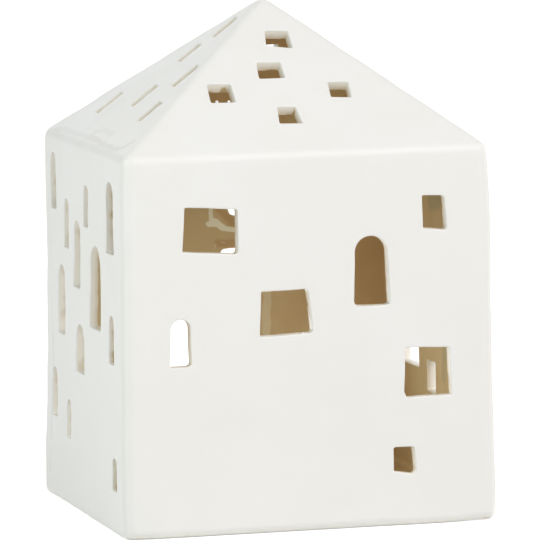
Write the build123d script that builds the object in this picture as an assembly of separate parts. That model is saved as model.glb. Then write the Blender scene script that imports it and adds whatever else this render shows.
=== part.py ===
from build123d import *
from math import atan2, cos, hypot, sin
import os

os.makedirs("parts", exist_ok=True)

# House, in millimetres, measured to its corners before they are rounded
house_width = 121.0
house_depth = 105.5
eave_height = 120.7
apex_height = 167.1
side_wall_spread = 1.45
front_wall_spread = 1.5
wall_thickness = 4.2
floor_thickness = 5.0
edge_radius = 4.0
inner_edge_radius = 2.0
base_trim = 1.1
cut_overrun = 2.0

# Candle door in the back wall; its crown is a share of the eave height
door_crown_share = 0.483
door_centre_x = -11.0
door_side_gap = 2.75
door_head_share = 1.0

# Tealight that stands on the floor
cup_diameter = 38.5
cup_height = 15.5
cup_wall = 0.3
cup_taper = 0.5
cup_heel = 1.2
rim_roll = 0.5
rim_roll_height = 1.1
wax_depth = 12.5
wax_dish = 0.8
wick_diameter = 1.6
wick_exposed = 7.0
wick_lean = 1.2
sustainer_diameter = 14.0
sustainer_thickness = 0.4
collar_diameter = 3.2
collar_height = 4.0
fit_gap = 0.05
slide_gap = 0.2

# Wax surface from the wick to the cup: out in shares of the brim, down in shares of the dish
wax_dish_shares = [(0.0, 1.0), (0.76, 0.40), (1.0, 0.0)]

# Straight-sided openings: their corners, clockwise from the top left as seen from outside.
# Across, shares of the wall's width from its middle; up, shares of the eave height.
front_pane_shares = [
    ((-0.337, 0.871), (-0.193, 0.861), (-0.194, 0.741), (-0.344, 0.753)),
    ((-0.132, 0.640), (-0.005, 0.642), (0.008, 0.526), (-0.137, 0.521)),
    ((0.311, 0.877), (0.371, 0.875), (0.377, 0.784), (0.312, 0.790)),
    ((0.259, 0.475), (0.382, 0.471), (0.388, 0.343), (0.262, 0.341), (0.255, 0.357)),
    ((0.223, 0.211), (0.281, 0.209), (0.287, 0.135), (0.225, 0.146)),
]
right_pane_shares = [
    ((-0.017, 0.369), (0.073, 0.367), (0.072, 0.286), (-0.017, 0.279)),
    ((0.156, 0.468), (0.369, 0.465), (0.371, 0.334), (0.157, 0.337)),
    ((-0.372, 0.560), (-0.262, 0.565), (-0.258, 0.440), (-0.370, 0.436)),
    ((-0.350, 0.895), (-0.270, 0.890), (-0.268, 0.790), (-0.355, 0.795)),
    ((0.285, 0.870), (0.380, 0.873), (0.383, 0.735), (0.288, 0.738)),
    ((-0.115, 0.665), (-0.020, 0.660), (-0.018, 0.560), (-0.118, 0.566)),
    ((-0.345, 0.235), (-0.255, 0.232), (-0.252, 0.140), (-0.348, 0.145)),
    ((0.110, 0.690), (0.185, 0.694), (0.188, 0.605), (0.108, 0.601)),
]
back_pane_shares = [
    ((-0.102, 0.657), (-0.012, 0.655), (0.005, 0.653), (0.012, 0.647), (0.014, 0.548), (-0.098, 0.550)),
    ((-0.135, 0.868), (-0.008, 0.872), (-0.009, 0.763), (-0.014, 0.752), (-0.026, 0.745), (-0.132, 0.742)),
    ((0.262, 0.872), (0.352, 0.868), (0.356, 0.770), (0.260, 0.774)),
    ((-0.348, 0.402), (-0.240, 0.405), (-0.236, 0.292), (-0.350, 0.289)),
    ((0.330, 0.608), (0.398, 0.604), (0.402, 0.520), (0.328, 0.523)),
]

# Round-headed openings: middle across and sill up, then width and height, in the same shares.
# Their sides lean in a little, so that the head is this share of the foot.
arch_head_share = 0.90
front_arch_shares = [
    (0.170, 0.591, 0.099, 0.184),
    (-0.351, 0.452, 0.058, 0.125),
]
left_arch_shares = [
    (-0.378, 0.796, 0.066, 0.153),
    (-0.220, 0.703, 0.063, 0.132),
    (-0.077, 0.609, 0.087, 0.180),
    (0.035, 0.784, 0.061, 0.111),
    (0.328, 0.740, 0.095, 0.189),
    (0.153, 0.522, 0.137, 0.220),
    (-0.281, 0.462, 0.096, 0.188),
    (-0.038, 0.382, 0.105, 0.130),
    (0.354, 0.451, 0.066, 0.127),
    (-0.373, 0.226, 0.067, 0.133),
    (-0.190, 0.185, 0.056, 0.104),
    (0.385, 0.116, 0.066, 0.086),
]
back_arch_shares = [
    (-0.318, 0.600, 0.075, 0.165),
    (0.200, 0.600, 0.070, 0.150),
]

# Roof openings: corners, across in shares of the wall's width and up in shares of the slope
front_roof_shares = [
    ((-0.021, 0.775), (0.041, 0.770), (0.041, 0.661), (-0.028, 0.681)),
    ((-0.069, 0.577), (-0.004, 0.572), (-0.003, 0.475), (-0.072, 0.476)),
    ((-0.219, 0.451), (-0.155, 0.447), (-0.155, 0.337), (-0.221, 0.336)),
    ((0.109, 0.439), (0.166, 0.436), (0.163, 0.342), (0.107, 0.346)),
    ((-0.046, 0.299), (0.004, 0.295), (0.010, 0.192), (-0.051, 0.196)),
]
left_roof_shares = [
    ((-0.017, 0.856), (0.030, 0.856), (0.022, 0.726), (-0.026, 0.726)),
    ((-0.058, 0.670), (-0.010, 0.670), (-0.014, 0.551), (-0.062, 0.551)),
    ((0.143, 0.564), (0.196, 0.564), (0.190, 0.423), (0.138, 0.423)),
    ((-0.005, 0.404), (0.047, 0.404), (0.040, 0.267), (-0.012, 0.267)),
    ((-0.227, 0.311), (-0.179, 0.311), (-0.193, 0.172), (-0.242, 0.172)),
    ((0.204, 0.332), (0.252, 0.332), (0.246, 0.208), (0.199, 0.208)),
]
right_roof_shares = [
    ((-0.040, 0.835), (0.008, 0.830), (0.006, 0.715), (-0.043, 0.720)),
    ((0.030, 0.640), (0.084, 0.645), (0.082, 0.520), (0.029, 0.515)),
    ((-0.185, 0.545), (-0.132, 0.540), (-0.135, 0.420), (-0.189, 0.425)),
    ((-0.030, 0.390), (0.025, 0.395), (0.022, 0.262), (-0.034, 0.257)),
    ((0.180, 0.420), (0.232, 0.415), (0.235, 0.290), (0.181, 0.295)),
    ((-0.270, 0.270), (-0.216, 0.275), (-0.214, 0.155), (-0.272, 0.150)),
]
back_roof_shares = [
    ((-0.076, 0.695), (-0.041, 0.693), (-0.040, 0.588), (-0.078, 0.592)),
    ((0.035, 0.455), (0.100, 0.460), (0.103, 0.362), (0.034, 0.358)),
    ((-0.198, 0.470), (-0.135, 0.466), (-0.131, 0.370), (-0.200, 0.374)),
    ((-0.105, 0.226), (-0.045, 0.230), (-0.042, 0.135), (-0.107, 0.131)),
    ((0.205, 0.255), (0.262, 0.251), (0.265, 0.160), (0.203, 0.164)),
]

half_width = house_width / 2
half_depth = house_depth / 2
cut_reach = wall_thickness + front_wall_spread + cut_overrun
door_width = cup_diameter + 2 * door_side_gap
door_height = door_crown_share * eave_height - floor_thickness

drum_radius = cup_diameter / 2 - rim_roll
wick_radius = wick_diameter / 2
wax_top = cup_wall + wax_depth


def gable_prism(half_span, spread, run, inset, bottom):
    """House profile from the bottom level up, every side moved inwards by inset, drawn out both ways."""
    foot = half_span + spread * (1 - bottom / eave_height)
    right_side = [(foot, bottom), (half_span, eave_height), (0, apex_height)]
    left_side = [(-half_span, eave_height), (-foot, bottom)]
    profile = offset(Polygon(*right_side, *left_side, align=None), amount=-inset, kind=Kind.INTERSECTION)
    return extrude(Plane.XZ * profile, amount=run, both=True)


def house_block(inset, radius, bottom):
    """Walls and hipped roof as one solid, inset from the outside, with its edges and corners rounded."""
    along = gable_prism(half_width, side_wall_spread, house_depth, inset + radius, bottom)
    across = Rot(Z=90) * gable_prism(half_depth, front_wall_spread, house_width, inset + radius, bottom)
    return offset(along & across, amount=radius, kind=Kind.ARC)


def pane(corner_shares, span, rise):
    """Straight-sided opening drawn from its corners."""
    corners = [(across * span, up * rise) for across, up in corner_shares]
    return Polygon(*corners, align=None)


def arch(width, height, middle, sill, head_share):
    """Round-headed opening that stands on its sill, its head this share of its foot."""
    head_radius = head_share * width / 2
    spring = height - head_radius
    foot = [(-width / 2, 0), (width / 2, 0)]
    sides = Polygon(*foot, (head_radius, spring), (-head_radius, spring), align=None)
    return Pos(middle, sill) * (sides + Pos(Y=spring) * Circle(head_radius))


def wall_cuts(reach, span, panes=(), arches=()):
    """Cutters through the wall that faces -Y, at this distance from the middle of the house."""
    outlines = [pane(shares, span, eave_height) for shares in panes]
    for middle, sill, width, height in arches:
        size = (width * span, height * eave_height)
        outlines.append(arch(*size, middle * span, sill * eave_height, arch_head_share))
    plane = Plane.XZ.offset(reach)
    return [extrude(plane * outline, amount=cut_reach, both=True) for outline in outlines]


def roof_cuts(reach, span, panes):
    """Cutters square to the roof slope that rises from the eave facing -Y."""
    rise = apex_height - eave_height
    pitch = atan2(rise, reach)
    plane = Plane((0, -reach, eave_height), x_dir=(1, 0, 0), z_dir=(0, -sin(pitch), cos(pitch)))
    outlines = [pane(shares, span, hypot(rise, reach)) for shares in panes]
    return [extrude(plane * outline, amount=cut_reach, both=True) for outline in outlines]


def door_cut():
    """Round-headed door in the back wall, level with the floor, wide enough for the tealight."""
    outline = arch(door_width, door_height, -door_centre_x, floor_thickness, door_head_share)
    return [extrude(Plane.XZ.offset(half_depth) * outline, amount=cut_reach, both=True)]


def brought_round(quarter, cutters):
    """Cutters drawn for the front, brought round to another side: 1 right, 2 back, 3 left."""
    return [Rot(Z=90 * quarter) * cutter for cutter in cutters]


def house_shell():
    """Slip-cast ceramic house: hollow walls, hipped roof and floor in one piece, with its cut openings."""
    outside = split(house_block(0, edge_radius, -base_trim), Plane.XY, keep=Keep.TOP)
    hollow = house_block(wall_thickness, inner_edge_radius, floor_thickness - wall_thickness)
    front = wall_cuts(half_depth, house_width, front_pane_shares, front_arch_shares)
    front += roof_cuts(half_depth, house_width, front_roof_shares)
    right = wall_cuts(half_width, house_depth, right_pane_shares)
    right += roof_cuts(half_width, house_depth, right_roof_shares)
    back = wall_cuts(half_depth, house_width, back_pane_shares, back_arch_shares) + door_cut()
    back += roof_cuts(half_depth, house_width, back_roof_shares)
    left = wall_cuts(half_width, house_depth, arches=left_arch_shares)
    left += roof_cuts(half_width, house_depth, left_roof_shares)
    others = brought_round(1, right) + brought_round(2, back) + brought_round(3, left)
    return outside - hollow - (front + others)


def cup_wall_radius(level):
    """Outer radius of the cup's tapered wall at this level above its base."""
    return drum_radius - cup_taper * (1 - level / cup_height)


def cup_section(inset, top):
    """Half section from the axis out to inside the cup's wall by inset, with the slanted heel, up to the top."""
    heel_top = cup_heel + inset
    heel_foot = (cup_wall_radius(0) - cup_heel, inset)
    wall = [(cup_wall_radius(heel_top) - inset, heel_top), (cup_wall_radius(top) - inset, top)]
    return [(0, inset), heel_foot] + wall


def turned(points):
    """Solid of revolution about the candle's upright axis."""
    return revolve(Plane.XZ * Polygon(*points, align=None), Axis.Z)


def tealight_cup():
    """Pressed aluminium cup with its rim rolled outwards."""
    outside = turned(cup_section(0, cup_height) + [(0, cup_height)])
    inside_top = cup_height + cut_overrun
    inside = turned(cup_section(cup_wall, inside_top) + [(0, inside_top)])
    roll_foot = cup_height - rim_roll_height
    under = [(0, roll_foot), (cup_wall_radius(roll_foot), roll_foot)]
    around = [(drum_radius + rim_roll, cup_height - rim_roll_height / 2)]
    over = [(drum_radius + rim_roll / 2, cup_height), (0, cup_height)]
    return outside + turned(under + around + over) - inside


def sustainer_form(clearance):
    """Foot disc and collar that hold the wick, every side moved outwards by clearance."""
    disc_height = sustainer_thickness + clearance
    standing = (Align.CENTER, Align.CENTER, Align.MIN)
    disc = Cylinder(sustainer_diameter / 2 + clearance, disc_height, align=standing)
    collar = Cylinder(collar_diameter / 2 + clearance, collar_height + clearance, align=standing)
    return Pos(Z=cup_wall) * (disc + collar)


def wick_hole():
    """Straight hole for the wick, right through the sustainer and the wax."""
    return Pos(Z=cup_height / 2) * Cylinder(wick_radius + fit_gap, cup_height)


def wick_sustainer():
    """Tinned steel foot that keeps the wick upright."""
    return sustainer_form(0) - wick_hole()


def candle_wax():
    """Poured wax, dished in the middle, with room for the wick and its foot."""
    gap = cup_wall + fit_gap
    brim = cup_wall_radius(wax_top) - gap
    side = cup_section(gap, wax_top)[1:-1]
    surface = [(out * brim, wax_top - down * wax_dish) for out, down in reversed(wax_dish_shares)]
    floor = [(0, cup_wall), (side[0][0], cup_wall)]
    return turned(floor + side[1:] + surface) - sustainer_form(fit_gap) - wick_hole()


def wick():
    """Waxed cotton wick, straight in the wax and leaning a little where it stands free."""
    foot = (0, 0, cup_wall)
    neck = (0, 0, wax_top)
    tip = (wick_lean, 0, wax_top + wick_exposed)
    route = Line(foot, neck) + TangentArc(neck, tip, tangent=(0, 0, 1))
    return sweep(Plane(foot) * Circle(wick_radius), path=route)


def placed_tealight(piece):
    """Put a piece of the tealight on the floor of the house, in line with the door."""
    return Pos(door_centre_x, 0, floor_thickness + slide_gap) * piece


pieces = {
    "house_shell": house_shell(),
    "tealight_cup": placed_tealight(tealight_cup()),
    "candle_wax": placed_tealight(candle_wax()),
    "wick_sustainer": placed_tealight(wick_sustainer()),
    "wick": placed_tealight(wick()),
}
for name, piece in pieces.items():
    piece.label = name
    export_step(piece, f"parts/{name}.step")
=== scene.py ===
import math

import bmesh
import bpy
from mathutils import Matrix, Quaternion, Vector, kdtree, noise


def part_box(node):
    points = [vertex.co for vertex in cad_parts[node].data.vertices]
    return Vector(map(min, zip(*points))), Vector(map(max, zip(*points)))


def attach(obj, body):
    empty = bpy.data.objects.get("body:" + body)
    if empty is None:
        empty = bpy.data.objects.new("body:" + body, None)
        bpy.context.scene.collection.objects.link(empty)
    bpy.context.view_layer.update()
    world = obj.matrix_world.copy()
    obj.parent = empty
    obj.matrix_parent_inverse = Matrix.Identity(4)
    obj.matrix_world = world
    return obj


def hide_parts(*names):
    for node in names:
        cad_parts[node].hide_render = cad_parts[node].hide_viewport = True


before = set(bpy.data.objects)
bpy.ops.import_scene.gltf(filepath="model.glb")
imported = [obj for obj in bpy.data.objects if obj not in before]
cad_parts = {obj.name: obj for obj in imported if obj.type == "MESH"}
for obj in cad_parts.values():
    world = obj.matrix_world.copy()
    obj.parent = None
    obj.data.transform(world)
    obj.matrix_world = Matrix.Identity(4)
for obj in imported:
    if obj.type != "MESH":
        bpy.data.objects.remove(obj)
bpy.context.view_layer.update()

bl_info = {
    "name": "Tealight house",
    "version": (1, 0, 0),
    "blender": (4, 5, 0),
    "location": "View3D > Sidebar > Tealight house",
    "description": "White glazed ceramic house with cut windows, and the tealight that stands in it",
    "category": "Add Mesh",
}

MM = 0.001
SEED = 3


def linear(hex_colour):
    """Turn an sRGB hex colour into linear red, green and blue."""
    shares = [int(hex_colour[i : i + 2], 16) / 255 for i in (1, 3, 5)]
    return tuple(s / 12.92 if s <= 0.04045 else ((s + 0.055) / 1.055) ** 2.4 for s in shares)


# Settings


def length(name, description, millimetres):
    """A length property, its default given in millimetres."""
    return bpy.props.FloatProperty(
        name=name, description=description, default=millimetres * MM, unit="LENGTH", precision=5
    )


def angle(name, description, degrees):
    """An angle property, its default given in degrees."""
    return bpy.props.FloatProperty(
        name=name, description=description, default=math.radians(degrees), subtype="ANGLE"
    )


def colour(name, description, hex_colour):
    """A colour property, its default given as sRGB hex."""
    return bpy.props.FloatVectorProperty(
        name=name,
        description=description,
        default=linear(hex_colour),
        subtype="COLOR",
        size=3,
        min=0,
        max=1,
    )


class HouseSettings(bpy.types.PropertyGroup):
    """Sizes and colours of the ceramic house."""

    rim_round: length("Rim rounding", "How far the glaze rounds the cut edges of the openings", 0.4)
    corner_round: length("Corner rounding", "How far the glaze fills the corners of the openings", 1.1)
    cell: length("Mesh cell", "Spacing of the cuts that let the walls bend", 3.0)
    wall_wander: length("Wall unevenness", "How far the cast walls wander from flat", 0.1)
    cut_wander: length("Cut unevenness", "How far the hand-cut outlines wander", 0.1)
    glaze: colour("Glaze", "Satin white glaze outside", "#F3F2F0")
    # Also whitens the rounded outer edges at half strength: a painted highlight
    glaze_thick_and_highlight: colour("Thick glaze", "Glaze pooled on the cut faces", "#FCFBF6")
    glaze_thin: colour("Thin glaze", "Glaze where it runs thin, over the clay", "#E2D8C3")
    film: colour("Glaze film", "Grey-green film where glaze ran in over the clay", "#F0F1DE")
    # This grey also marks the wiped foot along the base, where it is partly a painted contact shadow
    pool: colour("Glaze pool line", "Grey line where one coat of glaze ends over another", "#C9C6C4")
    clay_grey: colour("Grey clay", "Clay under a breath of glaze", "#A8A488")
    clay: colour("Bare clay", "Unglazed clay inside", "#CDBB92")
    # Also paints the shade in the corner behind on the right and under the back roof slope
    clay_dark_and_shade: colour("Dark clay", "Browner patches of the bare clay", "#BFA074")


class TealightSettings(bpy.types.PropertyGroup):
    """Colours of the tealight."""

    aluminium: colour("Aluminium", "Drawn aluminium of the cup", "#DCDDDF")
    aluminium_worn: colour("Draw lines", "Duller lines left by the drawing die", "#BFC1C4")
    wax: colour("Wax", "White paraffin wax", "#F1EEE6")
    wax_clear: colour("Clearer wax", "Mottles where the wax set clearer", "#E4E0D4")
    steel: colour("Tinned steel", "Foot that holds the wick", "#C9C7C0")
    steel_worn: colour("Thick tin", "Cloudy patches of thicker tin", "#B2B1AC")
    cotton: colour("Cotton", "Waxed cotton wick", "#EDE7DA")


class StudioSettings(bpy.types.PropertyGroup):
    """Camera and light."""

    azimuth: angle("Azimuth", "Camera angle to the left of the front", 15.56)
    elevation: angle("Elevation", "Camera angle above the horizon", 7.02)
    roll: angle("Roll", "Camera turn about its own axis", -0.64)
    distance: length("Distance", "From the camera to the middle of the view", 1907)
    lens: bpy.props.FloatProperty(
        name="Lens", description="Focal length in millimetres", default=390.1, min=1
    )
    floor: colour("Floor", "Pale sweep that the house stands on", "#D2D2D0")


# Mesh tools


def pick(piece):
    """Make this the only selected object, and the active one."""
    bpy.ops.object.select_all(action="DESELECT")
    piece.select_set(True)
    bpy.context.view_layer.objects.active = piece


def settle(piece, name, body, slot, *nodes):
    """Name the piece, put its place into its mesh, tie it to its body and hide the nodes it stands for."""
    pick(piece)
    bpy.ops.object.transform_apply(location=True, rotation=True, scale=True)
    piece.name = piece.data.name = name
    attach(piece, body)
    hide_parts(*nodes)


def finish_with(piece, kind, **values):
    """Add a modifier with these values and apply it."""
    pick(piece)
    modifier = piece.modifiers.new(kind.title(), kind)
    for key, value in values.items():
        setattr(modifier, key, value)
    bpy.ops.object.modifier_apply(modifier=modifier.name)


# Node tools

MATH = "ShaderNodeMath"
VECTOR = "ShaderNodeVectorMath"
NOISE = "ShaderNodeTexNoise"
RAMP = "ShaderNodeMapRange"
MIX = "ShaderNodeMix"
MAPPING = "ShaderNodeMapping"
BUMP = "ShaderNodeBump"
SOFT = {"interpolation_type": "SMOOTHSTEP"}
COLOURS = {"data_type": "RGBA"}


def connect(tree, made, links):
    """Set a node's inputs to values, or link them from sockets or from nodes' first outputs."""
    for key, value in links.items():
        if isinstance(value, bpy.types.Node):
            value = value.outputs[0]
        if isinstance(value, bpy.types.NodeSocket):
            tree.links.new(value, made.inputs[key])
        else:
            made.inputs[key].default_value = value


def node(tree, kind, links=None, **settings):
    """Add a node with its settings and its links."""
    made = tree.nodes.new(kind)
    for key, value in settings.items():
        setattr(made, key, value)
    connect(tree, made, links or {})
    return made


def new_material(name):
    """An empty node material with its output and surface shader."""
    material = bpy.data.materials.new(name)
    material.use_nodes = True
    tree = material.node_tree
    tree.nodes.clear()
    shader = node(tree, "ShaderNodeBsdfPrincipled")
    node(tree, "ShaderNodeOutputMaterial", {"Surface": shader.outputs[0]})
    return material, tree, shader


def rgba(colour_value):
    """A colour with full alpha."""
    return (*colour_value, 1.0)


def lumps(millimetres):
    """The noise scale whose main lumps are this many millimetres across."""
    return 1 / (millimetres * MM)


# Ceramic house


# The cast house, in millimetres: half its width and depth at the eaves, its heights and its wall
HALF_WIDTH = 60.5
HALF_DEPTH = 52.75
EAVE = 120.7
APEX = 167.1
WALL = 4.2

# Rounding of its outer edges, and how far the walls lean out from the eaves to the base
EDGE = 4.0
SIDE_SPREAD = 1.45
FRONT_SPREAD = 1.5

SIDE_PITCH = math.atan2(APEX - EAVE, HALF_WIDTH)
FRONT_PITCH = math.atan2(APEX - EAVE, HALF_DEPTH)

# Share of its flat depth that a place keeps at least under a rounded edge. This paints a highlight: the
# rounded outer edges and eaves take about half the thick glaze's white
HIGHLIGHT_DEPTH_SHARE = 0.3


def wall_depth(point):
    """Millimetres in from the nearest outer wall or roof slope, round at the edges between them."""
    x, y, z = abs(point.x) / MM, abs(point.y) / MM, point.z / MM
    fall = 1 - z / EAVE
    walls = (HALF_WIDTH + SIDE_SPREAD * fall - x, HALF_DEPTH + FRONT_SPREAD * fall - y)
    slopes = (
        (APEX - z) * math.cos(SIDE_PITCH) - x * math.sin(SIDE_PITCH),
        (APEX - z) * math.cos(FRONT_PITCH) - y * math.sin(FRONT_PITCH),
    )
    nearest, second = sorted((*walls, *slopes))[:2]
    if second > EDGE:
        return nearest
    return max(HIGHLIGHT_DEPTH_SHARE * nearest, EDGE - math.hypot(EDGE - nearest, EDGE - second))


# In these tables, places and half widths are in millimetres. Holes whose glaze stops at the inner edge:
# from, to, half width, and how surely
CALM_CUTS = (
    ((5.0, 51.0, 72.0), (9.0, 51.0, 97.0), 14.0, 1.0),
    ((59.0, 3.0, 39.0), (59.0, 28.0, 48.0), 14.0, 1.0),
    ((0.0, -36.0, 132.0), (0.0, -14.0, 151.0), 32.0, 0.85),
    ((-57.0, -10.0, 92.0), (-57.0, -10.0, 62.0), 3.5, 0.8),
    ((-11.0, 51.0, 4.0), (-11.0, 51.0, 32.0), 20.0, 0.6),
)

# Where a little glaze ran in over the clay: from, to, half width, and how strongly it shows
FILM_RUNS = (
    ((-4.8, 49.0, 96.0), (-4.8, 49.2, 88.4), 0.75, 0.9),
    ((-5.5, 49.2, 87.5), (-4.6, 49.2, 87.7), 1.05, 1.0),
    ((-4.6, 49.2, 87.7), (-2.8, 49.2, 87.6), 1.25, 1.0),
    ((-4.2, 49.2, 88.6), (-2.9, 49.2, 88.2), 0.9, 1.0),
    ((-2.8, 49.2, 87.6), (-0.6, 49.2, 86.3), 1.1, 1.0),
    ((-0.6, 49.2, 86.3), (5.0, 49.2, 84.7), 0.9, 1.0),
    ((14.4, 49.2, 66.0), (13.9, 49.4, 50.5), 1.5, 0.3),
)

# Greyer clay under a breath of glaze, the last all over the left roof slope
GREY_RUNS = (
    ((56.6, -12.0, 101.0), (56.6, -1.0, 98.0), 3.6, 0.6),
    ((57.2, -12.5, 49.5), (57.2, -11.5, 41.5), 2.6, 0.45),
    ((-44.0, 2.0, 134.0), (-34.0, 2.0, 142.0), 30.0, 0.8),
)

# Browner clay round the cut edges in the back wall; and painted shade, broadly in the corner behind on the
# right and under the back roof slope
DARK_RUNS = (
    ((-1.5, 49.2, 92.0), (2.5, 49.2, 88.0), 1.4, 0.8),
    ((-2.5, 49.2, 81.0), (6.0, 49.2, 80.5), 1.3, 0.8),
)
PAINTED_SHADE_PLACES = (
    ((54.0, 49.0, 84.0), (57.0, 40.0, 4.0), 16.0, 0.6),
    ((0.0, 38.0, 132.0), (0.0, 10.0, 156.0), 22.0, 0.8),
)


def roof_place(across, up, depth):
    """A place in the front roof slope: shares of the width and of the slope, and millimetres deep."""
    outward = up * HALF_DEPTH - HALF_DEPTH + depth * math.sin(FRONT_PITCH)
    height = EAVE + up * (APEX - EAVE) - depth * math.cos(FRONT_PITCH)
    return (2 * HALF_WIDTH * across, outward, height)


# How far short of the inner edge the glaze stops in some places, in millimetres, and those places: from,
# to, half width, and which share of that
SHORT_BY = 3.0
SHORT_GLAZE = (
    (roof_place(0.037, 0.771, 4.2), roof_place(0.041, 0.771, 4.2), 0.7, 0.5),
    (roof_place(-0.030, 0.575, 4.2), roof_place(-0.014, 0.573, 4.2), 0.8, 0.4),
    (roof_place(-0.224, 0.451, 4.2), roof_place(-0.208, 0.451, 4.2), 0.9, 0.6),
    (roof_place(-0.168, 0.449, 4.2), roof_place(-0.170, 0.448, 2.2), 0.9, 1.1),
    (roof_place(0.126, 0.438, 4.2), roof_place(0.150, 0.437, 4.2), 0.7, 0.3),
    (roof_place(-0.010, 0.296, 4.2), roof_place(-0.004, 0.296, 4.2), 0.7, 0.4),
    (roof_place(0.005, 0.295, 4.2), roof_place(0.006, 0.295, 1.2), 0.5, 1.3),
    ((-56.9, -8.9, 88.0), (-56.9, -8.9, 64.0), 2.0, 0.6),
    ((-56.7, -29.6, 109.5), (-56.7, -29.6, 101.0), 2.4, 0.6),
    ((-57.1, -33.9, 69.0), (-57.1, -33.9, 55.0), 3.0, 1.05),
    ((-57.3, -37.1, 24.0), (-57.3, -37.1, 15.0), 3.0, 1.05),
    ((-44.0, 2.0, 134.0), (-34.0, 2.0, 142.0), 30.0, 0.45),
)


def chain(half_width, strength, *points):
    """Runs from point to point."""
    return tuple((start, end, half_width, strength) for start, end in zip(points, points[1:]))


# Fine lines on the glaze outside, where one coat ends over another, low on the left roof slope and at the
# back of the left wall
ROOF_FORK = (-57.3, 1.4, 122.6)
WALL_TURN = (-61.3, 42.3, 55.0)
POOL_LINES = (
    chain(1.2, 0.2, (-58.6, 42.8, 121.6), (-57.8, 33.6, 122.3), (-57.8, 16.3, 122.2), ROOF_FORK)
    + chain(1.2, 0.28, ROOF_FORK, (-57.4, -9.7, 122.5), (-57.8, -21.8, 122.2), (-57.8, -36.8, 122.2))
    + chain(1.0, 0.3, (-57.8, -36.8, 122.2), (-55.8, -40.4, 124.0), (-53.9, -41.8, 125.6))
    + chain(1.0, 0.15, ROOF_FORK, (-55.6, 2.9, 124.4), (-54.1, -3.2, 125.5), (-54.3, -14.8, 125.3))
    + chain(0.3, 0.25, (-60.6, 46.2, 118.0), (-60.8, 45.8, 98.0), (-61.1, 44.6, 68.0), WALL_TURN)
    + chain(0.35, 0.5, WALL_TURN, (-61.4, 41.1, 45.5), (-61.6, 44.0, 37.0))
    + chain(0.35, 0.5, (-61.6, 44.0, 37.0), (-61.7, 43.6, 23.0), (-61.8, 45.9, 8.0))
)

# Drops of glaze that set on the lower edges: middle and radius
BEADS = (
    (roof_place(-0.205, 0.342, 0.3), 0.52),
    (roof_place(-0.172, 0.342, 0.4), 0.48),
    ((-2.4, -52.8, 63.35), 0.5),
    ((-1.3, -52.8, 63.3), 0.4),
    ((-5.0, -52.8, 63.1), 0.35),
)

# Thin bright runs of glaze on the clay of the back wall
BEAD_RUNS = (
    ((-3.3, 49.2, 80.6), (-4.4, 49.2, 79.0), 0.22, 0.8),
    ((-2.9, 49.2, 92.2), (-2.6, 49.2, 89.0), 0.2, 0.7),
    ((-1.2, 49.2, 81.2), (-0.2, 49.2, 81.0), 0.2, 0.6),
)


def near_runs(tree, place, runs, soft):
    """How strongly the runs show here: their strength on them and 0 beyond, soft for so many millimetres."""
    found = 0.0
    for start, end, half_width, strength in runs:
        start, end = Vector(start) * MM, Vector(end) * MM
        along = end - start
        offset = node(tree, VECTOR, {0: place, 1: start}, operation="SUBTRACT")
        reach = node(tree, VECTOR, {0: offset, 1: along / along.length_squared}, operation="DOT_PRODUCT")
        share = node(tree, MATH, {0: reach.outputs["Value"], 1: 1.0}, operation="MULTIPLY", use_clamp=True)
        foot = node(tree, VECTOR, {0: along, "Scale": share}, operation="SCALE")
        gap = node(tree, VECTOR, {0: offset, 1: foot}, operation="DISTANCE").outputs["Value"]
        near, far = (half_width - soft) * MM, (half_width + soft) * MM
        edge = {"From Min": far, "From Max": near, "To Max": strength}
        here = node(tree, RAMP, {"Value": gap, **edge}, **SOFT)
        found = node(tree, MATH, {0: found, 1: here}, operation="MAXIMUM")
    return found


# The glaze's wavy end, in millimetres: lengths of its waves and ripples, how far they swing, and how far
# short of the inner edge the waves start
WAVE, WAVE_SWING, WAVE_START = 5.0, 8.0, -4.5
RIPPLE, RIPPLE_SWING = 2.2, 1.2


def glaze_end(tree, place, inward):
    """How many millimetres past the wavy end of the glaze this place is."""
    waves = node(tree, NOISE, {"Vector": place, "Scale": lumps(WAVE), "Detail": 1.0})
    waves = node(tree, MATH, {0: waves, 1: WAVE_SWING, 2: WAVE_START}, operation="MULTIPLY_ADD")
    ripples = node(tree, NOISE, {"Vector": place, "Scale": lumps(RIPPLE), "Detail": 1.0})
    ripples = node(tree, MATH, {0: ripples, 1: RIPPLE_SWING, 2: waves}, operation="MULTIPLY_ADD")
    calm = near_runs(tree, place, CALM_CUTS, soft=1.5)
    lively = node(tree, MATH, {0: 1.0, 1: calm}, operation="SUBTRACT")
    ripples = node(tree, MATH, {0: ripples, 1: lively}, operation="MULTIPLY")
    past = node(tree, MATH, {0: inward, 1: ripples}, operation="SUBTRACT")
    short = near_runs(tree, place, SHORT_GLAZE, soft=1.0)
    return node(tree, MATH, {0: short, 1: SHORT_BY, 2: past}, operation="MULTIPLY_ADD")


def layered(tree, surface, *layers):
    """A colour with other colours laid over it, each by its share."""
    for share, tone in layers:
        surface = node(tree, MIX, {0: share, 6: surface, 7: tone}, **COLOURS).outputs[2]
    return surface


# In millimetres: how far the streaks move the thin glaze's beginning, how far the runs wander from side to
# side, and the heights at which the foot's grey line, partly a painted contact shadow, begins and is full
STREAK_SWING = 1.6
RUN_SWAY = 1.4
FOOT_SHADOW_LINE, FOOT_SHADOW_FULL = 0.6, 0.2


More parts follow.
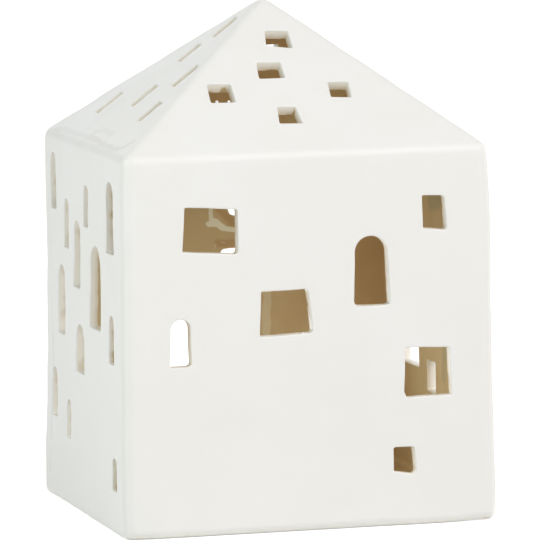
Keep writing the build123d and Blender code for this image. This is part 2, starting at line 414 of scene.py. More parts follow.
def glazed_stoneware(settings):
    """Slip-cast stoneware, dipped in satin white glaze outside and bare inside: soft even white, pale cut
    edges where the glaze flows over the clay and ends in a wavy line, and dry warm buff clay within."""
    material, tree, shader = new_material("glazed_stoneware")
    place = node(tree, "ShaderNodeTexCoord").outputs["Object"]
    inward = node(tree, "ShaderNodeAttribute", attribute_name="inward").outputs["Fac"]
    past = glaze_end(tree, place, inward)

    # Glaze: whiter where it pools on the cut faces and, as a painted highlight, on the rounded outer edges;
    # thin and streaky towards its end
    upright = node(tree, MAPPING, {"Vector": place, "Scale": (1, 1, 0.12)})
    streaks = node(tree, NOISE, {"Vector": upright, "Scale": lumps(1.1)})
    swing = {1: STREAK_SWING, 2: -STREAK_SWING / 2}
    streaks = node(tree, MATH, {0: streaks, **swing}, operation="MULTIPLY_ADD")
    ending = node(tree, MATH, {0: past, 1: streaks}, operation="ADD")
    ending = node(tree, RAMP, {"Value": ending, "From Min": -3.6, "From Max": 0.6}, **SOFT)
    in_cut = node(tree, RAMP, {"Value": inward, "From Min": -3.8, "From Max": -3.4}, **SOFT)
    thin = node(tree, MATH, {0: ending, 1: in_cut}, operation="MULTIPLY")
    broad = node(tree, NOISE, {"Vector": place, "Scale": lumps(34.0), "Detail": 3.0})
    broad = node(tree, RAMP, {"Value": broad, "From Min": 0.35, "From Max": 0.65, "To Max": 0.06}, **SOFT)
    thin = node(tree, MATH, {0: thin, 1: broad}, operation="MAXIMUM")
    # Whiter on the cut faces, where the glaze pools, and half as white on the rounded outer edges: a painted
    # highlight
    pooled_and_highlight = node(tree, RAMP, {"Value": inward, "From Min": -4.1, "From Max": -3.6}, **SOFT)

    # The runs wander a little
    sway = node(tree, NOISE, {"Vector": place, "Scale": lumps(3.85), "Detail": 1.0}).outputs["Color"]
    sway = node(tree, VECTOR, {0: sway, 1: Vector((0.5, 0.5, 0.5))}, operation="SUBTRACT")
    sway = node(tree, VECTOR, {0: sway, "Scale": RUN_SWAY * MM}, operation="SCALE")
    run_place = node(tree, VECTOR, {0: place, 1: sway}, operation="ADD").outputs[0]
    glaze = layered(
        tree,
        rgba(settings.glaze),
        (pooled_and_highlight.outputs[0], rgba(settings.glaze_thick_and_highlight)),
        (thin, rgba(settings.glaze_thin)),
        (near_runs(tree, run_place, POOL_LINES, soft=0.3), rgba(settings.pool)),
    )

    # Clay: blotched buff, browner, greyer or filmed over in places, and painted shade in the corner behind on
    # the right and under the back roof slope
    blotch = node(tree, NOISE, {"Vector": place, "Scale": lumps(22.0), "Detail": 4.0, "Roughness": 0.6})
    blotch = node(tree, RAMP, {"Value": blotch, "From Min": 0.38, "From Max": 0.72, "To Max": 0.6}, **SOFT)
    clay = layered(
        tree,
        rgba(settings.clay),
        (blotch, rgba(settings.clay_dark_and_shade)),
        (near_runs(tree, run_place, DARK_RUNS, soft=0.7), rgba(settings.clay_dark_and_shade)),
        # Painted shade in the corner behind on the right and under the back roof slope
        (near_runs(tree, run_place, PAINTED_SHADE_PLACES, soft=9.0), rgba(settings.clay_dark_and_shade)),
        (near_runs(tree, run_place, GREY_RUNS, soft=1.2), rgba(settings.clay_grey)),
        (near_runs(tree, run_place, FILM_RUNS, soft=0.2), rgba(settings.film)),
        (near_runs(tree, run_place, BEAD_RUNS, soft=0.12), rgba(settings.glaze_thin)),
    )
    bare = node(tree, RAMP, {"Value": past, "From Min": -0.12, "From Max": 0.12}, **SOFT)

    # The wiped foot and a painted contact shadow: a grey line along the base
    height = node(tree, "ShaderNodeSeparateXYZ", {0: place}).outputs["Z"]
    low = {"From Min": FOOT_SHADOW_LINE * MM, "From Max": FOOT_SHADOW_FULL * MM, "To Max": 0.75}
    foot = node(tree, RAMP, {"Value": height, **low}, **SOFT)
    surface = layered(tree, glaze, (bare, clay), (foot, rgba(settings.pool)))
    rough = node(tree, RAMP, {"Value": bare, "To Min": 0.42, "To Max": 0.82})

    # Skin of the glaze, and grit where the clay is bare
    skin = node(tree, NOISE, {"Vector": place, "Scale": lumps(7.0), "Detail": 3.0})
    grit = node(tree, NOISE, {"Vector": place, "Scale": lumps(0.9)})
    coarse = node(tree, RAMP, {"Value": bare, "To Min": 0.03, "To Max": 0.53})
    relief = node(tree, MATH, {0: grit, 1: coarse, 2: skin}, operation="MULTIPLY_ADD")
    bump = node(tree, BUMP, {"Height": relief, "Distance": 0.12 * MM, "Strength": 0.6})
    connect(tree, shader, {"Base Color": surface, "Roughness": rough, "Normal": bump})
    return material


# Corners of the front windows that aren't as round as the rest: across, up and radius, in millimetres
CORNER_ROUNDS = (
    (14.6, 71.3, 1.8),
    (46.9, 41.4, 0.5),
    (46.2, 56.9, 0.8),
    (27.0, 25.5, 0.7),
    (34.0, 25.2, 0.7),
    (27.2, 17.6, 0.7),
    (-40.8, 105.1, 0.5),
    (0.0, 77.5, 1.2),
)

# How near one of them a corner lies that takes its radius, in millimetres
CORNER_REACH = 2.5

# Where the cast house is not true: middle, reach and shift of each place, in millimetres
OUT_OF_TRUE = (
    ((60.5, -52.75, 120.7), 9.0, (-0.55, 0.0, 0.0)),
    ((-61.0, 53.0, 112.0), 15.0, (-0.9, 0.0, 0.0)),
    ((-61.0, 53.0, 92.0), 9.0, (-0.3, 0.0, 0.0)),
    ((-61.4, 53.5, 48.0), 24.0, (0.27, 0.0, 0.0)),
    ((-61.6, 54.2, 8.0), 16.0, (-0.5, 0.2, 0.0)),
    ((61.5, -54.0, 15.0), 12.0, (0.25, -0.1, 0.0)),
    ((62.0, -54.0, 0.0), 9.0, (-0.1, 0.1, 0.35)),
    ((54.0, -54.0, 0.0), 6.0, (0.0, 0.0, 0.25)),
    ((-61.5, -54.2, 1.0), 8.0, (0.6, 0.5, 0.0)),
    ((61.0, -53.0, 99.0), 16.0, (0.45, 0.0, 0.0)),
    ((-30.0, 26.0, 144.0), 30.0, (0.0, 0.0, 0.25)),
)


# Edges bent by more than this are cut edges
CUT_ANGLE = math.radians(38)

# In millimetres: the least change of depth of a cut edge that runs through the wall, and the most of one
# that runs along a rim
THROUGH = 3.0
ALONG = 0.3

# In millimetres: edges deeper than this are inside, and lower than this where the floor meets the walls
INSIDE = 3.0
BY_FLOOR = 7.5

# A corner whose two sides lean further left than this is at an opening's right side
RIGHT_LEAN = -0.3

# Share of the usual radius that the other corners and those in the roof have, share of the narrowest face
# that a corner may take, and places along the corner's sides where its curve has points
TIGHT_SHARE = 0.4
FACE_SHARE = 0.45
CURVE_POINTS = (1.0, 0.72, 0.46, 0.22)

# In millimetres: depth at which the cut faces begin, how near the inner edge they end, and the least height
# at which they count
CUT_STARTS = 1.0
INNER_EDGE = 0.05
ABOVE_BASE = 0.5

# In millimetres: lengths of the walls' lumps and of the cuts' lumps, and the height up to which the base is
# held down
WALL_LUMP = 38.0
CUT_LUMP = 9.0
SETTLED = 6.0

# Points closer than this are one point, in millimetres, when merged and when cut by a plane
MERGE = 0.002
ON_PLANE = 0.001


class TEALIGHTHOUSE_OT_house(bpy.types.Operator):
    """Soften the cast house: rounded glazed rims, walls that wander a little, bare clay inside"""

    bl_idname = "tealighthouse.house"
    bl_label = "Ceramic house"

    def execute(self, context):
        settings = context.scene.tealight_house
        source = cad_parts["house_shell"]
        house = bpy.data.objects.new("glazed_house", source.data.copy())
        context.scene.collection.objects.link(house)
        self.join_faces(house)
        self.fill_corners(house, settings.corner_round)
        self.round_rims(house, settings.rim_round)
        self.divide(house, settings.cell)
        self.note_inward(house)
        self.unevenness(house, settings)
        self.beads(house)
        pick(house)
        bpy.ops.object.shade_smooth_by_angle(angle=CUT_ANGLE)
        finish_with(house, "WEIGHTED_NORMAL", keep_sharp=True)
        house.data.materials.clear()
        house.data.materials.append(glazed_stoneware(settings))
        settle(house, "glazed_house", "house", "glazed_stoneware", "house_shell")
        return {"FINISHED"}

    def join_faces(self, house):
        """Turn the loose triangles into whole flat faces."""
        pick(house)
        bpy.ops.object.mode_set(mode="EDIT")
        bpy.ops.mesh.select_all(action="SELECT")
        bpy.ops.mesh.remove_doubles(threshold=MERGE * MM)
        bpy.ops.mesh.customdata_custom_splitnormals_clear()
        bpy.ops.mesh.dissolve_limited(angle_limit=math.radians(1), delimit=set())
        bpy.ops.object.mode_set(mode="OBJECT")

    def fill_corners(self, house, radius):
        """Round the corners that run through the wall, with as many points as the curve needs."""
        mesh = bmesh.new()
        mesh.from_mesh(house.data)
        for edge in mesh.edges[:]:
            through = self.depth_change(edge) > THROUGH
            by_floor = self.lowest(edge) < BY_FLOOR * MM
            if through and edge.calc_face_angle(0) > CUT_ANGLE and not by_floor:
                self.fill_corner(mesh, edge, radius)
        mesh.to_mesh(house.data)
        mesh.free()

    def depth_change(self, edge):
        """How much deeper in the wall one end of an edge lies, in millimetres."""
        depths = [wall_depth(corner.co) for corner in edge.verts]
        return abs(depths[0] - depths[1])

    def lowest(self, edge):
        """Height of an edge's lower end."""
        return min(corner.co.z for corner in edge.verts)

    def fill_corner(self, mesh, edge, radius):
        """Bring the points on either side of one corner onto its curve, wider at an opening's right side."""
        start = edge.verts[0].co.copy()
        through = (edge.verts[1].co - start).normalized()

        def direction(face):
            inward = face.calc_center_median() - start
            return (inward - through * inward.dot(through)).normalized()

        sides = []
        for face in edge.link_faces:
            inward = direction(face)
            sides.append((inward, max((corner.co - start).dot(inward) for corner in face.verts)))
        at_right = sides[0][0].x + sides[1][0].x <= RIGHT_LEAN
        if not at_right or start.z > EAVE * MM:
            radius *= TIGHT_SHARE
        for across, up, wanted in CORNER_ROUNDS:
            in_front = start.y < (2 * WALL - HALF_DEPTH) * MM
            if in_front and math.hypot(start.x / MM - across, start.z / MM - up) < CORNER_REACH:
                radius = wanted * MM
        half = sides[0][0].angle(sides[1][0]) / 2
        tangent = min(radius / math.tan(half), FACE_SHARE * min(reach for _, reach in sides))
        radius = tangent * math.tan(half)
        centre = start + (sides[0][0] + sides[1][0]).normalized() * (radius / math.sin(half))
        moving = set(edge.verts)
        for inward, _ in sides:
            for share in CURVE_POINTS:
                nearest = max(edge.link_faces, key=lambda face: direction(face).dot(inward))
                cut = [nearest, *nearest.edges, *nearest.verts]
                place = start + inward * (tangent * share)
                made = self.cut_at(mesh, cut, place, inward)
                if share < 1:
                    moving.update(point for point in made if isinstance(point, bmesh.types.BMVert))
        for point in moving:
            out = point.co - centre
            out -= through * out.dot(through)
            point.co += out.normalized() * radius - out

    def cut_at(self, mesh, cut, place, normal):
        """Cut these faces along a plane, and give the points and edges that this makes."""
        made = bmesh.ops.bisect_plane(mesh, geom=cut, dist=ON_PLANE * MM, plane_co=place, plane_no=normal)
        return made["geom_cut"]

    def round_rims(self, house, width):
        """Round the cut rims outside and in."""
        pick(house)
        bpy.ops.object.mode_set(mode="EDIT")
        bpy.ops.mesh.select_mode(type="EDGE")
        bpy.ops.mesh.select_all(action="DESELECT")
        mesh = bmesh.from_edit_mesh(house.data)
        for edge in mesh.edges:
            deepest = max(wall_depth(corner.co) for corner in edge.verts)
            along_rim = edge.calc_face_angle(0) > CUT_ANGLE and self.depth_change(edge) < ALONG
            inside_low = self.lowest(edge) < BY_FLOOR * MM and deepest > INSIDE
            edge.select = along_rim and not inside_low
        bmesh.update_edit_mesh(house.data)
        bpy.ops.mesh.bevel(
            offset=width, segments=3, affect="EDGES", clamp_overlap=False, loop_slide=False
        )
        bpy.ops.object.mode_set(mode="OBJECT")

    def divide(self, house, cell):
        """Cut the faces along evenly spaced planes, so that they can bend."""
        mesh = bmesh.new()
        mesh.from_mesh(house.data)
        low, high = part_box("house_shell")
        for axis in range(3):
            count = round((high[axis] - low[axis]) / cell)
            normal = Vector([float(axis == i) for i in range(3)])
            for step in range(1, count):
                place = low + (high - low) * (step / count)
                everything = mesh.verts[:] + mesh.edges[:] + mesh.faces[:]
                self.cut_at(mesh, everything, place, normal)
        mesh.to_mesh(house.data)
        mesh.free()

    def note_inward(self, house):
        """Keep how far past the inner edge of its opening each point is, in millimetres, for the glaze."""
        points = house.data.vertices
        depths = [wall_depth(point.co) for point in points]
        inner = WALL - INNER_EDGE
        above = [point.co.z > ABOVE_BASE * MM for point in points]
        cut = [i for i, depth in enumerate(depths) if CUT_STARTS < depth < inner and above[i]]
        nearest = kdtree.KDTree(len(cut))
        for i in cut:
            nearest.insert(points[i].co, i)
        nearest.balance()
        kept = house.data.attributes.new("inward", "FLOAT", "POINT")
        for i, depth in enumerate(depths):
            gap = nearest.find(points[i].co)[2] / MM if depth > inner else 0
            kept.data[i].value = min(depth, WALL) - WALL + gap

    def beads(self, house):
        """Set the drops of glaze on their edges."""
        bpy.ops.object.select_all(action="DESELECT")
        for middle, radius in BEADS:
            place = Vector(middle) * MM
            bpy.ops.mesh.primitive_ico_sphere_add(subdivisions=3, radius=radius * MM, location=place)
            drop = bpy.context.object
            kept = drop.data.attributes.new("inward", "FLOAT", "POINT")
            kept.data.foreach_set("value", [-WALL] * len(drop.data.vertices))
            pick(house)
            drop.select_set(True)
            bpy.ops.object.join()

    def unevenness(self, house, settings):
        """Let the walls and the cut outlines wander, within the cast size."""
        noise.seed_set(SEED)
        apart = Vector((7, 3, 5))
        low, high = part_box("house_shell")
        pushes = [
            (Vector(middle) * MM, reach * MM, Vector(push) * MM) for middle, reach, push in OUT_OF_TRUE
        ]
        for point in house.data.vertices:
            place = point.co.copy()
            slow = noise.noise_vector(place / (WALL_LUMP * MM)) * settings.wall_wander * 2
            quick = noise.noise_vector(place / (CUT_LUMP * MM) + apart) * settings.cut_wander * 2
            shift = slow + quick
            shift.z *= min(1, place.z / (SETTLED * MM))
            for middle, reach, push in pushes:
                shift += push * math.exp(-(((place - middle).length / reach) ** 2))
            moved = place + shift
            point.co = [min(max(moved[i], low[i]), high[i]) for i in range(3)]
        house.data.update()


# Tealight


# Heights of the fine relief beside the broad: draw lines beside dents, and the wax's grain beside its swell
DRAW_LINE_SHARE = 0.06
GRAIN_SHARE = 0.12


def drawn_aluminium(settings):
    """Thin aluminium sheet, drawn into a cup: bright satin metal with upright draw lines and soft dents."""
    material, tree, shader = new_material("drawn_aluminium")
    place = node(tree, "ShaderNodeTexCoord").outputs["Object"]
    upright = node(tree, MAPPING, {"Vector": place, "Scale": (1, 1, 0.04)})
    lines = node(tree, NOISE, {"Vector": upright, "Scale": lumps(0.35), "Detail": 3.0, "Roughness": 0.6})
    dents = node(tree, NOISE, {"Vector": place, "Scale": lumps(6.0), "Detail": 1.0})
    shade = node(tree, RAMP, {"Value": lines, "From Min": 0.3, "From Max": 0.7}, **SOFT)
    metal = layered(tree, rgba(settings.aluminium), (shade, rgba(settings.aluminium_worn)))
    rough = node(tree, RAMP, {"Value": shade, "To Min": 0.26, "To Max": 0.38})
    relief = node(tree, MATH, {0: lines, 1: DRAW_LINE_SHARE, 2: dents}, operation="MULTIPLY_ADD")
    bump = node(tree, BUMP, {"Height": relief, "Distance": 0.3 * MM, "Strength": 0.5})
    connect(tree, shader, {"Base Color": metal, "Metallic": 1.0, "Roughness": rough, "Normal": bump})
    return material


def poured_paraffin(settings):
    """Poured paraffin wax: milky and a little see-through, soft gloss, faintly mottled where it set."""
    material, tree, shader = new_material("poured_paraffin")
    place = node(tree, "ShaderNodeTexCoord").outputs["Object"]
    mottle = node(tree, NOISE, {"Vector": place, "Scale": lumps(2.6), "Detail": 4.0, "Roughness": 0.6})
    mottle = node(tree, RAMP, {"Value": mottle, "From Min": 0.35, "From Max": 0.7}, **SOFT)
    wax = layered(tree, rgba(settings.wax), (mottle, rgba(settings.wax_clear)))
    rough = node(tree, RAMP, {"Value": mottle, "To Min": 0.3, "To Max": 0.46})
    fine = node(tree, NOISE, {"Vector": place, "Scale": lumps(0.7)})
    broad = node(tree, NOISE, {"Vector": place, "Scale": lumps(4.5)})
    relief = node(tree, MATH, {0: fine, 1: GRAIN_SHARE, 2: broad}, operation="MULTIPLY_ADD")
    bump = node(tree, BUMP, {"Height": relief, "Distance": 0.4 * MM, "Strength": 0.5})
    connect(tree, shader, {"Base Color": wax, "Roughness": rough, "Normal": bump, "IOR": 1.44})
    milky = {"Subsurface Weight": 0.5, "Subsurface Radius": (1.0, 0.8, 0.6), "Subsurface Scale": 2 * MM}
    connect(tree, shader, milky)
    return material


def stamped_tinplate(settings):
    """Tinned steel strip, stamped: cool bright metal with rolling lines, cloudy where the tin is thicker."""
    material, tree, shader = new_material("stamped_tinplate")
    place = node(tree, "ShaderNodeTexCoord").outputs["Object"]
    along = node(tree, MAPPING, {"Vector": place, "Scale": (0.05, 1, 1)})
    lines = node(tree, NOISE, {"Vector": along, "Scale": lumps(0.12)})
    clouds = node(tree, NOISE, {"Vector": place, "Scale": lumps(1.8), "Detail": 3.0})
    clouds = node(tree, RAMP, {"Value": clouds, "From Min": 0.35, "From Max": 0.65}, **SOFT)
    metal = layered(tree, rgba(settings.steel), (clouds, rgba(settings.steel_worn)))
    rough = node(tree, RAMP, {"Value": clouds, "To Min": 0.25, "To Max": 0.4})
    bump = node(tree, BUMP, {"Height": lines, "Distance": 0.03 * MM, "Strength": 0.4})
    connect(tree, shader, {"Base Color": metal, "Metallic": 1.0, "Roughness": rough, "Normal": bump})
    return material


def waxed_cotton(settings):
    """Plaited cotton yarn, dipped in wax: off-white and matt, with twisted fibres and paler waxed spots."""
    material, tree, shader = new_material("waxed_cotton")
    place = node(tree, "ShaderNodeTexCoord").outputs["Object"]
    leaning = node(tree, MAPPING, {"Vector": place, "Rotation": (0.5, 0.5, 0), "Scale": (1, 1, 0.2)})
    fibres = node(tree, NOISE, {"Vector": leaning, "Scale": lumps(0.14), "Detail": 3.0, "Roughness": 0.6})
    waxed = node(tree, NOISE, {"Vector": place, "Scale": lumps(1.1)})
    waxed = node(tree, RAMP, {"Value": waxed, "From Min": 0.4, "From Max": 0.65}, **SOFT)
    yarn = layered(tree, rgba(settings.cotton), (waxed, rgba(settings.wax)))
    rough = node(tree, RAMP, {"Value": waxed, "To Min": 0.8, "To Max": 0.45})
    bump = node(tree, BUMP, {"Height": fibres, "Distance": 0.08 * MM, "Strength": 0.8})
    connect(tree, shader, {"Base Color": yarn, "Roughness": rough, "Sheen Weight": 0.15, "Normal": bump})
    return material


def candle_foot():
    """Middle of the tealight's base."""
    low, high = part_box("tealight_cup")
    return Vector(((low[0] + high[0]) / 2, (low[1] + high[1]) / 2, low[2]))


def turned(rings, segments, fill="NOTHING"):
    """A circle drawn out through rings of (radius, height above the tealight's base), in millimetres."""
    bpy.ops.object.select_all(action="DESELECT")
    foot = candle_foot()
    radius, height = rings[0]
    place = foot + Vector((0, 0, height * MM))
    bpy.ops.mesh.primitive_circle_add(
        vertices=segments, radius=radius * MM, fill_type=fill, location=place
    )
    bpy.ops.object.mode_set(mode="EDIT")
    bpy.ops.mesh.select_mode(type="EDGE")
    bpy.ops.mesh.select_all(action="SELECT")
    if fill != "NOTHING":
        bpy.ops.mesh.region_to_loop()
    for wider, higher in rings[1:]:
        bpy.ops.mesh.extrude_region_move(TRANSFORM_OT_translate={"value": (0, 0, (higher - height) * MM)})
        bpy.ops.transform.resize(value=(wider / radius, wider / radius, 1), center_override=foot)
        radius, height = wider, higher
    bpy.ops.mesh.select_all(action="SELECT")
    bpy.ops.mesh.remove_doubles(threshold=MERGE * MM)
    bpy.ops.mesh.normals_make_consistent(inside=False)
    bpy.ops.object.mode_set(mode="OBJECT")
    return bpy.context.object


# Thickness of the cup's foil and of the wick foot's sheet, in millimetres
CUP_SHEET = 0.1
FOOT_SHEET = 0.18


class TEALIGHTHOUSE_OT_cup(bpy.types.Operator):
    """Drawn aluminium cup: stepped rings in its base, slanted heel, tapered wall and a rolled rim"""

    bl_idname = "tealighthouse.cup"
    bl_label = "Tealight cup"

    def execute(self, context):
        middle = [(2.6, 0.16), (3.1, 0.0), (6.4, 0.0), (6.9, 0.16)]
        ring = [(8.9, 0.16), (9.4, 0.0), (12.4, 0.0), (12.9, 0.16)]
        heel = [(15.2, 0.16), (15.7, 0.0), (16.9, 0.0), (17.35, 0.16), (17.75, 0.55), (18.05, 1.0)]
        wall = [(18.24, 1.5), (18.3, 2.6), (18.4, 5.6), (18.5, 8.6), (18.58, 11.6), (18.64, 13.8)]
        rim = [(18.66, 14.8), (18.7, 15.15), (18.8, 15.32), (18.95, 15.38), (19.08, 15.3)]
        curl = [(19.13, 15.1), (19.12, 14.85), (19.03, 14.68), (18.88, 14.66)]
        cup = turned(middle + ring + heel + wall + rim + curl, segments=128, fill="TRIFAN")
        finish_with(cup, "SOLIDIFY", thickness=CUP_SHEET * MM, offset=-1)
        pick(cup)
        bpy.ops.object.shade_smooth_by_angle(angle=math.radians(50))
        cup.data.materials.append(drawn_aluminium(context.scene.tealight_candle))
        settle(cup, "pressed_cup", "tealight", "cup_aluminium", "tealight_cup")
        return {"FINISHED"}


# The wax's open surface, in millimetres: from which height and between which radii it wanders, how long
# its lumps are and how high
OPEN_WAX_HEIGHT = 11.5
OPEN_WAX_FROM, OPEN_WAX_TO = 1.6, 17.9
WAX_LUMP, WAX_WANDER = 5, 0.16


class TEALIGHTHOUSE_OT_wax(bpy.types.Operator):
    """Poured wax that climbs a little where it meets the cup and the wick, and sinks between them"""

    bl_idname = "tealighthouse.wax"
    bl_label = "Candle wax"

    def execute(self, context):
        over_foot = [(0.86, 4.37), (1.68, 4.37), (1.68, 0.78), (7.08, 0.78)]
        under = [(7.08, 0.32), (16.9, 0.32), (17.5, 0.7), (18.0, 1.5)]
        side = [(18.14, 3.0), (18.28, 7.0), (18.42, 11.0), (18.46, 12.6), (18.49, 13.02)]
        edge = [(18.38, 12.92), (18.1, 12.74), (17.6, 12.64), (16.6, 12.58)]
        surface = [(14.5, 12.53), (11.5, 12.42), (8.5, 12.24), (6.0, 12.1), (4.2, 12.03), (2.9, 12.0)]
        at_wick = [(2.0, 12.03), (1.5, 12.14), (1.15, 12.34), (0.92, 12.6), (0.86, 12.55), (0.86, 4.37)]
        wax = turned(over_foot + under + side + edge + surface + at_wick, segments=96)
        self.sink(wax)
        pick(wax)
        bpy.ops.object.shade_smooth_by_angle(angle=math.radians(50))
        wax.data.materials.append(poured_paraffin(context.scene.tealight_candle))
        settle(wax, "poured_wax", "tealight", "paraffin_wax", "candle_wax")
        return {"FINISHED"}

    def sink(self, wax):
        """Let the open surface wander as it set."""
        noise.seed_set(SEED)
        foot = candle_foot()
        for point in wax.data.vertices:
            place = wax.matrix_world @ point.co - foot
            out = math.hypot(place.x, place.y) / MM
            if place.z > OPEN_WAX_HEIGHT * MM and OPEN_WAX_FROM < out < OPEN_WAX_TO:
                point.co.z += noise.noise(place / (WAX_LUMP * MM)) * WAX_WANDER * MM


# The crimp in the collar: between which heights in millimetres, and how it changes the collar's width,
# depth and height
CRIMP_FROM, CRIMP_TO = 2.6, 3.6
CRIMP = (1.05, 0.8, 1)


class TEALIGHTHOUSE_OT_wick_foot(bpy.types.Operator):
    """Stamped steel foot: dished disc with a raised ring, and a collar crimped on the wick"""

    bl_idname = "tealighthouse.wick_foot"
    bl_label = "Wick foot"

    def execute(self, context):
        disc = [(7.0, 0.36), (6.75, 0.6), (6.1, 0.62), (5.7, 0.46), (4.3, 0.46), (3.9, 0.62), (2.4, 0.66)]
        collar = [(1.85, 0.75), (1.6, 1.05), (1.52, 1.6), (1.5, 2.4)]
        crimp = [(1.42, 2.7), (1.4, 3.5), (1.48, 3.8), (1.55, 4.28)]
        foot = turned(disc + collar + crimp, segments=64)
        self.crimp(foot)
        finish_with(foot, "SOLIDIFY", thickness=FOOT_SHEET * MM, offset=-1)
        pick(foot)
        bpy.ops.object.shade_smooth_by_angle(angle=math.radians(40))
        foot.data.materials.append(stamped_tinplate(context.scene.tealight_candle))
        settle(foot, "stamped_wick_foot", "tealight", "tinned_steel", "wick_sustainer")
        return {"FINISHED"}

    def crimp(self, foot):
        """Press the middle of the collar flatter from two sides."""
        base = candle_foot()
        bpy.ops.object.mode_set(mode="EDIT")
        bpy.ops.mesh.select_mode(type="VERT")
        bpy.ops.mesh.select_all(action="DESELECT")
        mesh = bmesh.from_edit_mesh(foot.data)
        for point in mesh.verts:
            height = (foot.matrix_world @ point.co - base).z
            point.select = CRIMP_FROM * MM < height < CRIMP_TO * MM
        bmesh.update_edit_mesh(foot.data)
        bpy.ops.transform.resize(value=CRIMP, center_override=base)
        bpy.ops.object.mode_set(mode="OBJECT")


# The wick, in millimetres: height of its lower end, how far up it is straight, and the radius of its lean
WICK_LOW = 0.3
WICK_STRAIGHT = 12.5
WICK_LEAN = 21.0

# The plait, in millimetres: radius of a strand, how far along each strand begins and ends, length of one turn
# of the plait, and how far a strand swings to the side and to the front
STRAND = 0.31
STRAND_STARTS = 0.05
STRAND_ENDS = (19.35, 19.0, 19.5)
PLAIT_TURN = 4.2
PLAIT_SIDE, PLAIT_FRONT = 0.44, 0.24
STRAND_STEPS = 150


class TEALIGHTHOUSE_OT_wick(bpy.types.Operator):
    """Three waxed cotton strands plaited flat, straight in the wax and leaning a little above it"""

    bl_idname = "tealighthouse.wick"
    bl_label = "Wick"

    def execute(self, context):
        bpy.ops.object.select_all(action="DESELECT")
        strands = [self.strand(index) for index in range(len(STRAND_ENDS))]
        for strand in strands:
            strand.select_set(True)
        context.view_layer.objects.active = strands[0]
        bpy.ops.object.convert(target="MESH")
        bpy.ops.object.join()
        wick = context.object
        bpy.ops.object.shade_smooth_by_angle(angle=math.radians(60))
        wick.data.materials.clear()
        wick.data.materials.append(waxed_cotton(context.scene.tealight_candle))
        settle(wick, "plaited_wick", "tealight", "cotton_wick", "wick")
        return {"FINISHED"}

    def middle_line(self, travelled):
        """The wick's middle, and which way is sideways there, this many millimetres along it."""
        turn = max(0.0, travelled - WICK_STRAIGHT) / WICK_LEAN
        height = WICK_LOW + min(travelled, WICK_STRAIGHT) + WICK_LEAN * math.sin(turn)
        middle = Vector((WICK_LEAN * (1 - math.cos(turn)), 0, height))
        return middle, Vector((math.cos(turn), 0, -math.sin(turn)))

    def strand(self, index):
        """One strand of the plait, as a round curve."""
        plait = bpy.data.curves.new("strand", "CURVE")
        plait.dimensions = "3D"
        plait.bevel_depth = STRAND * MM
        plait.bevel_resolution = 3
        plait.use_fill_caps = True
        line = plait.splines.new("POLY")
        line.points.add(STRAND_STEPS)
        for step in range(STRAND_STEPS + 1):
            travelled = STRAND_STARTS + (STRAND_ENDS[index] - STRAND_STARTS) * step / STRAND_STEPS
            middle, sideways = self.middle_line(travelled)
            phase = math.tau * (travelled / PLAIT_TURN + index / len(STRAND_ENDS))
            forward = Vector((0, PLAIT_FRONT * math.sin(2 * phase), 0))
            shift = sideways * (PLAIT_SIDE * math.sin(phase)) + forward
            line.points[step].co = (*(candle_foot() + (middle + shift) * MM), 1)
        strand = bpy.data.objects.new("strand", plait)
        bpy.context.scene.collection.objects.link(strand)
        return strand


# Studio


# How much light the paper adds of its own, the world's strength at the horizon and overhead, and its tint
PAPER_GLOW = 0.75
HORIZON, OVERHEAD = 0.83, 0.4
WORLD_TINT = (0.975, 1, 0.99, 1)

# The floor's width in metres, and how far it lies under the house in millimetres
FLOOR_WIDTH = 30
FLOOR_GAP = 0.02

# What the lamps and the camera are aimed at: the house's middle in metres, and the view's in millimetres
LAMP_TARGET = (0, 0, 0.08)
VIEW_TARGET = (1.75, 0, 77.43)


def sweep_paper(settings):
    """Pale matt studio paper: even white behind and under the house, with only a breath of its shadow."""
    material, tree, shader = new_material("sweep_paper")
    place = node(tree, "ShaderNodeTexCoord").outputs["Object"]
    fibres = node(tree, NOISE, {"Vector": place, "Scale": lumps(0.8), "Detail": 3.0})
    bump = node(tree, BUMP, {"Height": fibres, "Distance": 0.02 * MM, "Strength": 0.3})
    connect(tree, shader, {"Base Color": rgba(settings.floor), "Roughness": 0.9, "Normal": bump})

    # Seen by the camera and in reflections, the paper is lit up to white
    path = node(tree, "ShaderNodeLightPath").outputs
    seen = node(tree, MATH, {0: path["Is Camera Ray"], 1: path["Is Glossy Ray"]}, operation="MAXIMUM")
    glow = node(tree, MATH, {0: seen, 1: PAPER_GLOW}, operation="MULTIPLY")
    connect(tree, shader, {"Emission Color": (1, 1, 1, 1), "Emission Strength": glow})
    return material


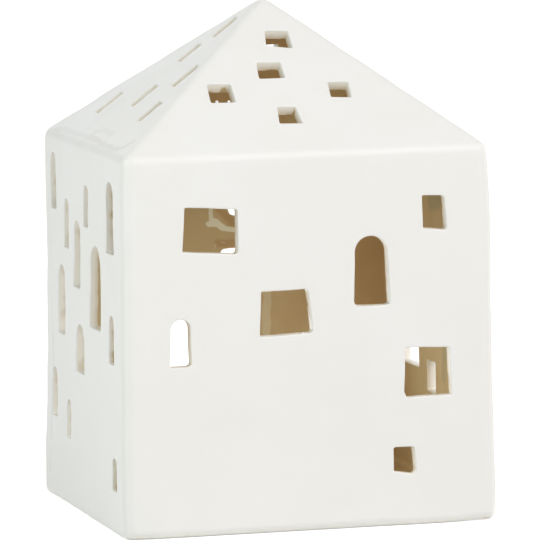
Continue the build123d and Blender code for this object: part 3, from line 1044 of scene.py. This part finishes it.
class TEALIGHTHOUSE_OT_stage(bpy.types.Operator):
    """Pale floor, soft studio light and the camera at the photograph's angle"""

    bl_idname = "tealighthouse.stage"
    bl_label = "Studio"

    def execute(self, context):
        settings = context.scene.tealight_studio
        self.floor(settings)
        self.sky(context.scene)
        self.lamps()
        self.camera(context.scene, settings)
        context.scene.view_settings.view_transform = "Standard"
        return {"FINISHED"}

    def floor(self, settings):
        """A wide floor just under the house."""
        bpy.ops.object.select_all(action="DESELECT")
        bpy.ops.mesh.primitive_plane_add(size=FLOOR_WIDTH, location=(0, 0, -FLOOR_GAP * MM))
        floor = bpy.context.object
        floor.name = floor.data.name = "studio_floor"
        bpy.ops.object.transform_apply(location=True, rotation=True, scale=True)
        floor.data.materials.append(sweep_paper(settings))

    def sky(self, scene):
        """Even light all round, and plain white where the camera looks past the floor."""
        scene.world = bpy.data.worlds.new("studio_light")
        scene.world.use_nodes = True
        tree = scene.world.node_tree
        tree.nodes.clear()
        path = node(tree, "ShaderNodeLightPath").outputs
        camera, glass = path["Is Camera Ray"], path["Is Transmission Ray"]
        seen = node(tree, MATH, {0: camera, 1: glass}, operation="MAXIMUM")
        way = node(tree, "ShaderNodeTexCoord").outputs["Generated"]
        upward = node(tree, "ShaderNodeSeparateXYZ", {0: way}).outputs["Z"]
        studio = node(tree, RAMP, {"Value": upward, "To Min": HORIZON, "To Max": OVERHEAD})
        strength = node(tree, MATH, {0: seen, 1: studio}, operation="MAXIMUM")
        tone = layered(tree, WORLD_TINT, (seen, (1, 1, 1, 1)))
        background = node(tree, "ShaderNodeBackground", {"Color": tone, "Strength": strength})
        node(tree, "ShaderNodeOutputWorld", {"Surface": background.outputs[0]})

    def lamp(self, name, place, target, size, power, tint):
        """A soft square lamp that looks at the target, its size in metres and its power in watts."""
        data = bpy.data.lights.new(name, "AREA")
        data.shape = "SQUARE"
        data.size = size
        data.energy = power
        data.color = tint
        lamp = bpy.data.objects.new(name, data)
        bpy.context.scene.collection.objects.link(lamp)
        lamp.location = place
        lamp.rotation_euler = (Vector(place) - Vector(target)).to_track_quat("Z", "Y").to_euler()

    def lamps(self):
        """Broad lights in front and behind, a small one low on the left, and one in the hollow that shows
        the bare clay."""
        self.lamp(
            "front_softbox",
            place=(0.74, -1.16, 1.12),
            target=LAMP_TARGET,
            size=1.2,
            power=14.1,
            tint=(1, 0.96, 0.942),
        )
        self.lamp(
            "left_softbox",
            place=(-0.42, -0.15, 0.2),
            target=(-0.06, 0, 0.05),
            size=0.3,
            power=0.43,
            tint=(0.93, 1, 0.97),
        )
        self.lamp(
            "back_softbox",
            place=(0.5, 2.4, 0.9),
            target=LAMP_TARGET,
            size=1.6,
            power=8,
            tint=(1, 1, 1),
        )
        data = bpy.data.lights.new("hollow_light", "POINT")
        data.shadow_soft_size = 0.02
        data.energy = 0.045
        hollow = bpy.data.objects.new("hollow_light", data)
        bpy.context.scene.collection.objects.link(hollow)
        hollow.location = (0, -0.015, 0.045)
        hollow.visible_camera = False

    def camera(self, scene, settings):
        """Long lens from the front left, as in the photograph."""
        data = bpy.data.cameras.new("camera")
        camera = bpy.data.objects.new("camera", data)
        scene.collection.objects.link(camera)
        level = math.cos(settings.elevation)
        left, forward = math.sin(settings.azimuth) * level, math.cos(settings.azimuth) * level
        back = Vector((-left, -forward, math.sin(settings.elevation)))
        camera.location = Vector(VIEW_TARGET) * MM + back * settings.distance
        turn = back.to_track_quat("Z", "Y") @ Quaternion((0, 0, 1), settings.roll)
        camera.rotation_euler = turn.to_euler()
        data.lens = settings.lens
        data.sensor_width = 36
        data.clip_end = 100
        scene.camera = camera


# Add-on


class TEALIGHTHOUSE_PT_panel(bpy.types.Panel):
    """The pieces of the tealight house and its studio"""

    bl_idname = "TEALIGHTHOUSE_PT_panel"
    bl_label = "Tealight house"
    bl_space_type = "VIEW_3D"
    bl_region_type = "UI"
    bl_category = "Tealight house"

    def draw(self, context):
        for operator in OPERATORS:
            self.layout.operator(operator.bl_idname)
        for name in ("tealight_house", "tealight_candle", "tealight_studio"):
            group = getattr(context.scene, name)
            for key in group.__annotations__:
                self.layout.prop(group, key)


OPERATORS = (
    TEALIGHTHOUSE_OT_house,
    TEALIGHTHOUSE_OT_cup,
    TEALIGHTHOUSE_OT_wax,
    TEALIGHTHOUSE_OT_wick_foot,
    TEALIGHTHOUSE_OT_wick,
    TEALIGHTHOUSE_OT_stage,
)
CLASSES = (HouseSettings, TealightSettings, StudioSettings, *OPERATORS, TEALIGHTHOUSE_PT_panel)


def register():
    """Make the classes and their settings known to Blender."""
    for made in CLASSES:
        bpy.utils.register_class(made)
    bpy.types.Scene.tealight_house = bpy.props.PointerProperty(type=HouseSettings)
    bpy.types.Scene.tealight_candle = bpy.props.PointerProperty(type=TealightSettings)
    bpy.types.Scene.tealight_studio = bpy.props.PointerProperty(type=StudioSettings)


def unregister():
    """Take them away again."""
    del bpy.types.Scene.tealight_house, bpy.types.Scene.tealight_candle, bpy.types.Scene.tealight_studio
    for made in reversed(CLASSES):
        bpy.utils.unregister_class(made)


def main():
    """Build the pieces and the studio."""
    register()
    bpy.ops.tealighthouse.cup()
    bpy.ops.tealighthouse.wax()
    bpy.ops.tealighthouse.wick_foot()
    bpy.ops.tealighthouse.wick()
    bpy.ops.tealighthouse.house()
    bpy.ops.tealighthouse.stage()


if __name__ == "__main__":
    main()
